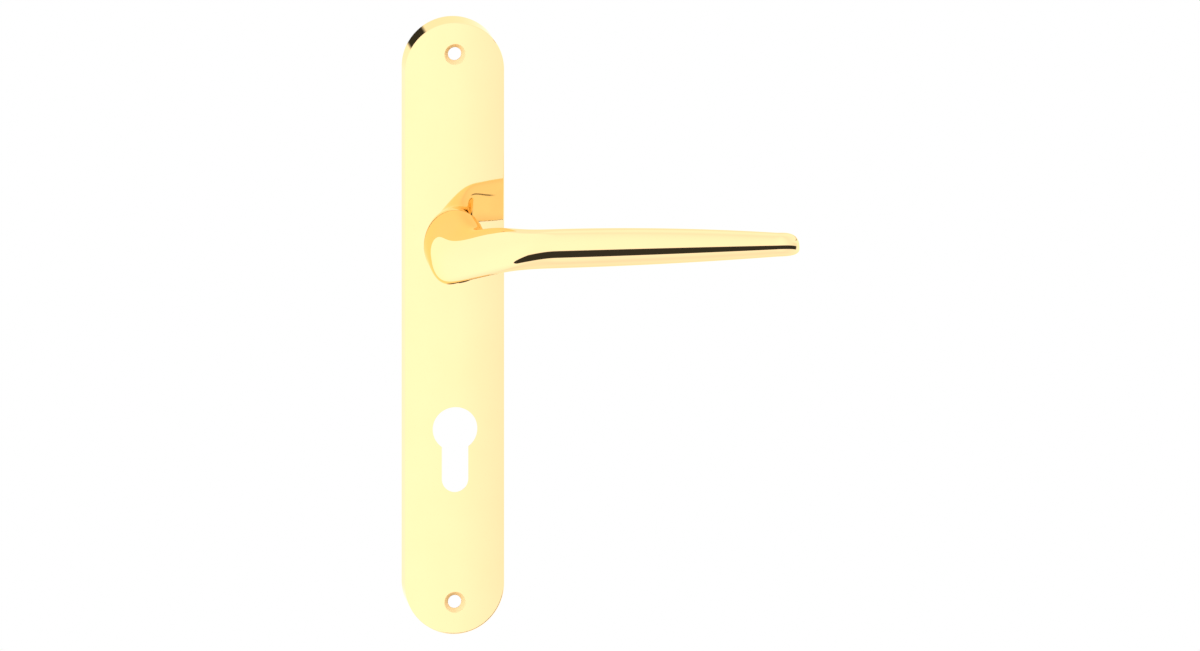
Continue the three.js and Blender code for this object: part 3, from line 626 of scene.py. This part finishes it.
def lever_sections():
    """Rows of inner point, outer point, half height and the oval's powers above and below.

    Width, height and rise ease from the neck's to the grip's, and then taper with the square of the
    share of the grip. The heel's side sinks in the bend by a sine squared.
    """
    turn, x, reach, bent, lowered, raised, along = centre_line()
    slim, low, up, taper = ease(bent), ease(lowered), ease(raised), along**2
    bump = np.sin(math.pi * bent) ** 2
    half = (neck_width + (grip_thickness - neck_width) * slim + (end_thickness - grip_thickness) * taper) / 2
    high = (neck_height + (grip_height - neck_height) * low + (end_height - grip_height) * taper) / 2
    rise = grip_rise * up - end_fall * taper
    lean = (grip_lean * slim - heel_drop * bump) / 2
    plain = neck_power + (grip_power - neck_power) * slim
    powers = [plain + (power - plain) * bump for power in (roof_power, belly_power)]
    inner = [x + half * np.cos(turn), reach - half * np.sin(turn), rise - lean]
    outer = [x - half * np.cos(turn), reach + half * np.sin(turn), rise + lean]
    return np.stack([*inner, *outer, high, *powers], -1)


def tip_sections(last):
    """Sections that round off the grip's end: their size is a power of one less the cube of the share of
    the way to the tip, and the middle drops by a share of the height that is lost."""
    middle = (last[1:3] + last[4:6]) / 2
    along = np.linspace(0, 1, tip_steps + 1)[1:-1]
    along = 1 - (1 - along) ** 2
    size = (1 - along**3) ** tip_bluntness
    rows = np.tile(last, (len(along), 1))
    rows[:, 0] = rows[:, 3] = last[0] + (tip_reach - last[0]) * along
    rows[:, 1:3] = middle + (last[1:3] - middle) * size[:, None]
    rows[:, 4:6] = middle + (last[4:6] - middle) * size[:, None]
    rows[:, [2, 5]] -= tip_drop * (1 - size[:, None]) * last[6]
    rows[:, 6] = last[6] * size
    return rows


def oval(angle, power):
    """Cosine and sine of an oval that is a true ellipse at power 1 and squarer below it: the point at
    each angle is scaled so that the sum of its coordinates, each to the power 2 / power, is one."""
    share = 2 / power
    size = (np.abs(np.cos(angle)) ** share + np.abs(np.sin(angle)) ** share) ** (-1 / share)
    return size * np.cos(angle), size * np.sin(angle)


def lever_skin():
    """Closed rings from the foot on the plate to the tip: each is an oval across the line from a row's
    inner point to its outer point, raised and lowered by the half height."""
    rows = lever_sections()
    rows = np.vstack([rows, tip_sections(rows[-1])])
    power = np.where(np.sin(lever_angles) > 0, rows[:, 7:8], rows[:, 8:9])
    across, upwards = oval(lever_angles, power)
    rings = rows[:, None, :3] + (rows[:, None, 3:6] - rows[:, None, :3]) * ((1 + across) / 2)[..., None]
    rings[..., 2] += rows[:, 6:7] * upwards
    rings = np.stack([rings[..., 0], -plate_depth - rings[..., 1], neck_z + rings[..., 2]], -1)
    tip_middle = (rows[-1, 1:3] + rows[-1, 4:6]) / 2
    tip = [tip_reach, -plate_depth - tip_middle[0], neck_z + tip_middle[1]]
    return np.concatenate([rings, np.broadcast_to(tip, (1, lever_sides, 3))])


def journal_ring(radius, reach, flat=None):
    """A ring round the spindle's axis at a distance from the door, cut off at two flats above and below."""
    x, z = -radius * np.cos(lever_angles), radius * np.sin(lever_angles)
    if flat is not None:
        z = np.clip(z, -flat, flat)
    return np.stack([x, np.full(lever_sides, -reach), neck_z + z], -1)


def square_ring(half, reach):
    """The square socket's outline, reached by pushing a circle out to a square."""
    size = half / np.maximum(np.abs(np.cos(lever_angles)), np.abs(np.sin(lever_angles)))
    x, z = -size * np.cos(lever_angles), size * np.sin(lever_angles)
    return np.stack([x, np.full(lever_sides, -reach), neck_z + z], -1)


lever_angles = 2 * math.pi * np.arange(lever_sides) / lever_sides
flat_half, flats_end = 6.45, 5.8
groove_radius, groove_back, groove_front = 6.45, 0.77, 1.97
socket_half, socket_depth, journal_end = 4.15, 29.8, 0.4
socket_reaches = (socket_depth, 20, 10, journal_end)
lever_edge_angle = 40
skin = lever_skin()
foot = plate_depth + neck_foot
socket = [square_ring(socket_half, reach) for reach in socket_reaches]
middle = np.broadcast_to([0, -socket_depth, neck_z], (1, lever_sides, 3))
behind = [
    *socket,
    journal_ring(journal_radius, journal_end, flat_half),
    journal_ring(journal_radius, groove_back, flat_half),
    journal_ring(groove_radius, groove_back, flat_half),
    journal_ring(groove_radius, groove_front, flat_half),
    journal_ring(journal_radius, groove_front, flat_half),
    journal_ring(journal_radius, flats_end, flat_half),
    journal_ring(journal_radius, flats_end),
    journal_ring(journal_radius, foot),
]
lever_rings = np.concatenate([middle, np.stack(behind), skin])


def rounded_body(name, rings, material, sharp_angle):
    """One closed mesh from rings that start and end in a single point, shaded smooth except over edges
    sharper than an angle."""
    points, _, triangles = band(rings, rings)
    points, merged = np.unique(np.round(points, weld_digits), axis=0, return_inverse=True)
    corners = merged.reshape(-1)[triangles]
    a, b, c = (points[corners[:, k]] for k in range(3))
    if (a * np.cross(b, c)).sum() < 0:
        corners = corners[:, ::-1]
    real = (corners != np.roll(corners, 1, axis=1)).all(1)
    mesh = bpy.data.meshes.new(name)
    mesh.from_pydata(points * MM, [], corners[real].tolist())
    mesh.shade_smooth()
    mesh.set_sharp_from_angle(angle=math.radians(sharp_angle))
    mesh.materials.append(material)
    piece = bpy.data.objects.new(name, mesh)
    scene.collection.objects.link(piece)
    return piece


lever_body = rounded_body("lever_body", lever_rings, polished_gold, lever_edge_angle)
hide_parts("lever")
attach(lever_body, "lever")

# Support frame: a pale nylon moulding pressed into the shell from behind. It carries the spring
# cassette, stiffens the plate and meets the door.

natural_nylon = finish_material(
    "natural_nylon",
    metallic=0.0,
    shades=((0.78, 0.75, 0.65), (0.86, 0.83, 0.75)),
    roughness=(0.35, 0.5),
    cloud_size=5,
    grain_size=0.4,
    grain_depth=0.005,
)
merge_distance, flat_angle, edge_angle, bevel_steps = 0.002, 0.5, 35, 2


def eased(node, name, width, material, body):
    """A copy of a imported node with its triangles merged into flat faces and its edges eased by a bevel."""
    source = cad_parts[node].data
    places = np.empty(len(source.vertices) * 3)
    source.vertices.foreach_get("co", places)
    mesh = bpy.data.meshes.new(name)
    mesh.from_pydata(places.reshape(-1, 3), [], [tuple(p.vertices) for p in source.polygons])
    form = bmesh.new()
    form.from_mesh(mesh)
    bmesh.ops.remove_doubles(form, verts=form.verts, dist=merge_distance * MM)
    bmesh.ops.dissolve_limit(
        form,
        angle_limit=math.radians(flat_angle),
        verts=form.verts,
        edges=form.edges,
        use_dissolve_boundaries=False,
    )
    form.to_mesh(mesh)
    form.free()
    mesh.shade_smooth()
    mesh.set_sharp_from_angle(angle=math.radians(edge_angle))
    mesh.materials.append(material)
    piece = bpy.data.objects.new(name, mesh)
    scene.collection.objects.link(piece)
    bevel = piece.modifiers.new("eased_edges", "BEVEL")
    bevel.width = width * MM
    bevel.segments = bevel_steps
    bevel.limit_method = "ANGLE"
    bevel.angle_limit = math.radians(edge_angle)
    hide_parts(node)
    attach(piece, body)
    return piece


eased("support_frame", "support_frame_moulding", 0.2, natural_nylon, "plate")

# Spring cassette: a cup and cover stamped from steel sheet and zinc plated, held by two countersunk
# screws through their ears. The two stop pins are riveted into the cover.

zinc_steel = finish_material(
    "zinc_steel",
    metallic=1.0,
    shades=((0.6, 0.62, 0.65), (0.72, 0.72, 0.7)),
    roughness=(0.24, 0.42),
    cloud_size=6,
    grain_size=0.5,
    grain_depth=0.006,
    stretch=(1, 1, 0.12),
)
dark_steel = finish_material(
    "dark_steel",
    metallic=1.0,
    shades=((0.13, 0.135, 0.145), (0.2, 0.2, 0.205)),
    roughness=(0.3, 0.48),
    cloud_size=4,
    grain_size=0.3,
    grain_depth=0.004,
)
eased("cassette_housing", "cassette_cup", 0.12, zinc_steel, "plate")
eased("cassette_cover", "cassette_lid", 0.12, zinc_steel, "plate")
for number in (1, 2):
    eased(f"cassette_screw_{number}", f"cassette_fixing_{number}", 0.06, dark_steel, "plate")
    eased(f"stop_pin_{number}", f"stop_rivet_{number}", 0.08, dark_steel, "plate")

# Neck bush and thrust washer: natural nylon turned parts that the lever's journal and the rotor run on.

eased("neck_bush", "neck_bearing", 0.08, natural_nylon, "plate")
eased("thrust_washer", "slip_washer", 0.06, natural_nylon, "lever")

# Rotor, return spring, wave washer and clip: the rotor is pressed on the journal's flats, the flat
# spiral spring turns it back, and the clip in the journal's groove holds all of it with a wave washer.

eased("rotor", "driven_rotor", 0.08, zinc_steel, "lever")
eased("return_spring", "spiral_spring", 0.06, dark_steel, "plate")
eased("wave_washer", "sprung_washer", 0.03, dark_steel, "lever")
eased("retaining_clip", "journal_clip", 0.08, dark_steel, "lever")

# Spindle and grub screw: a bright 8 mm square bar through the door, with its long edges eased, and the
# small socket screw in the neck's underside that keeps it in.

eased("spindle", "square_spindle", 0.35, zinc_steel, "lever")
eased("neck_grub_screw", "socket_screw", 0.12, dark_steel, "lever")

# Frame screws: four small pan-head screws from the door side through the frame into posts of the shell.

for number in (1, 2, 3, 4):
    eased(f"frame_screw_{number}", f"pan_screw_{number}", 0.08, zinc_steel, "plate")
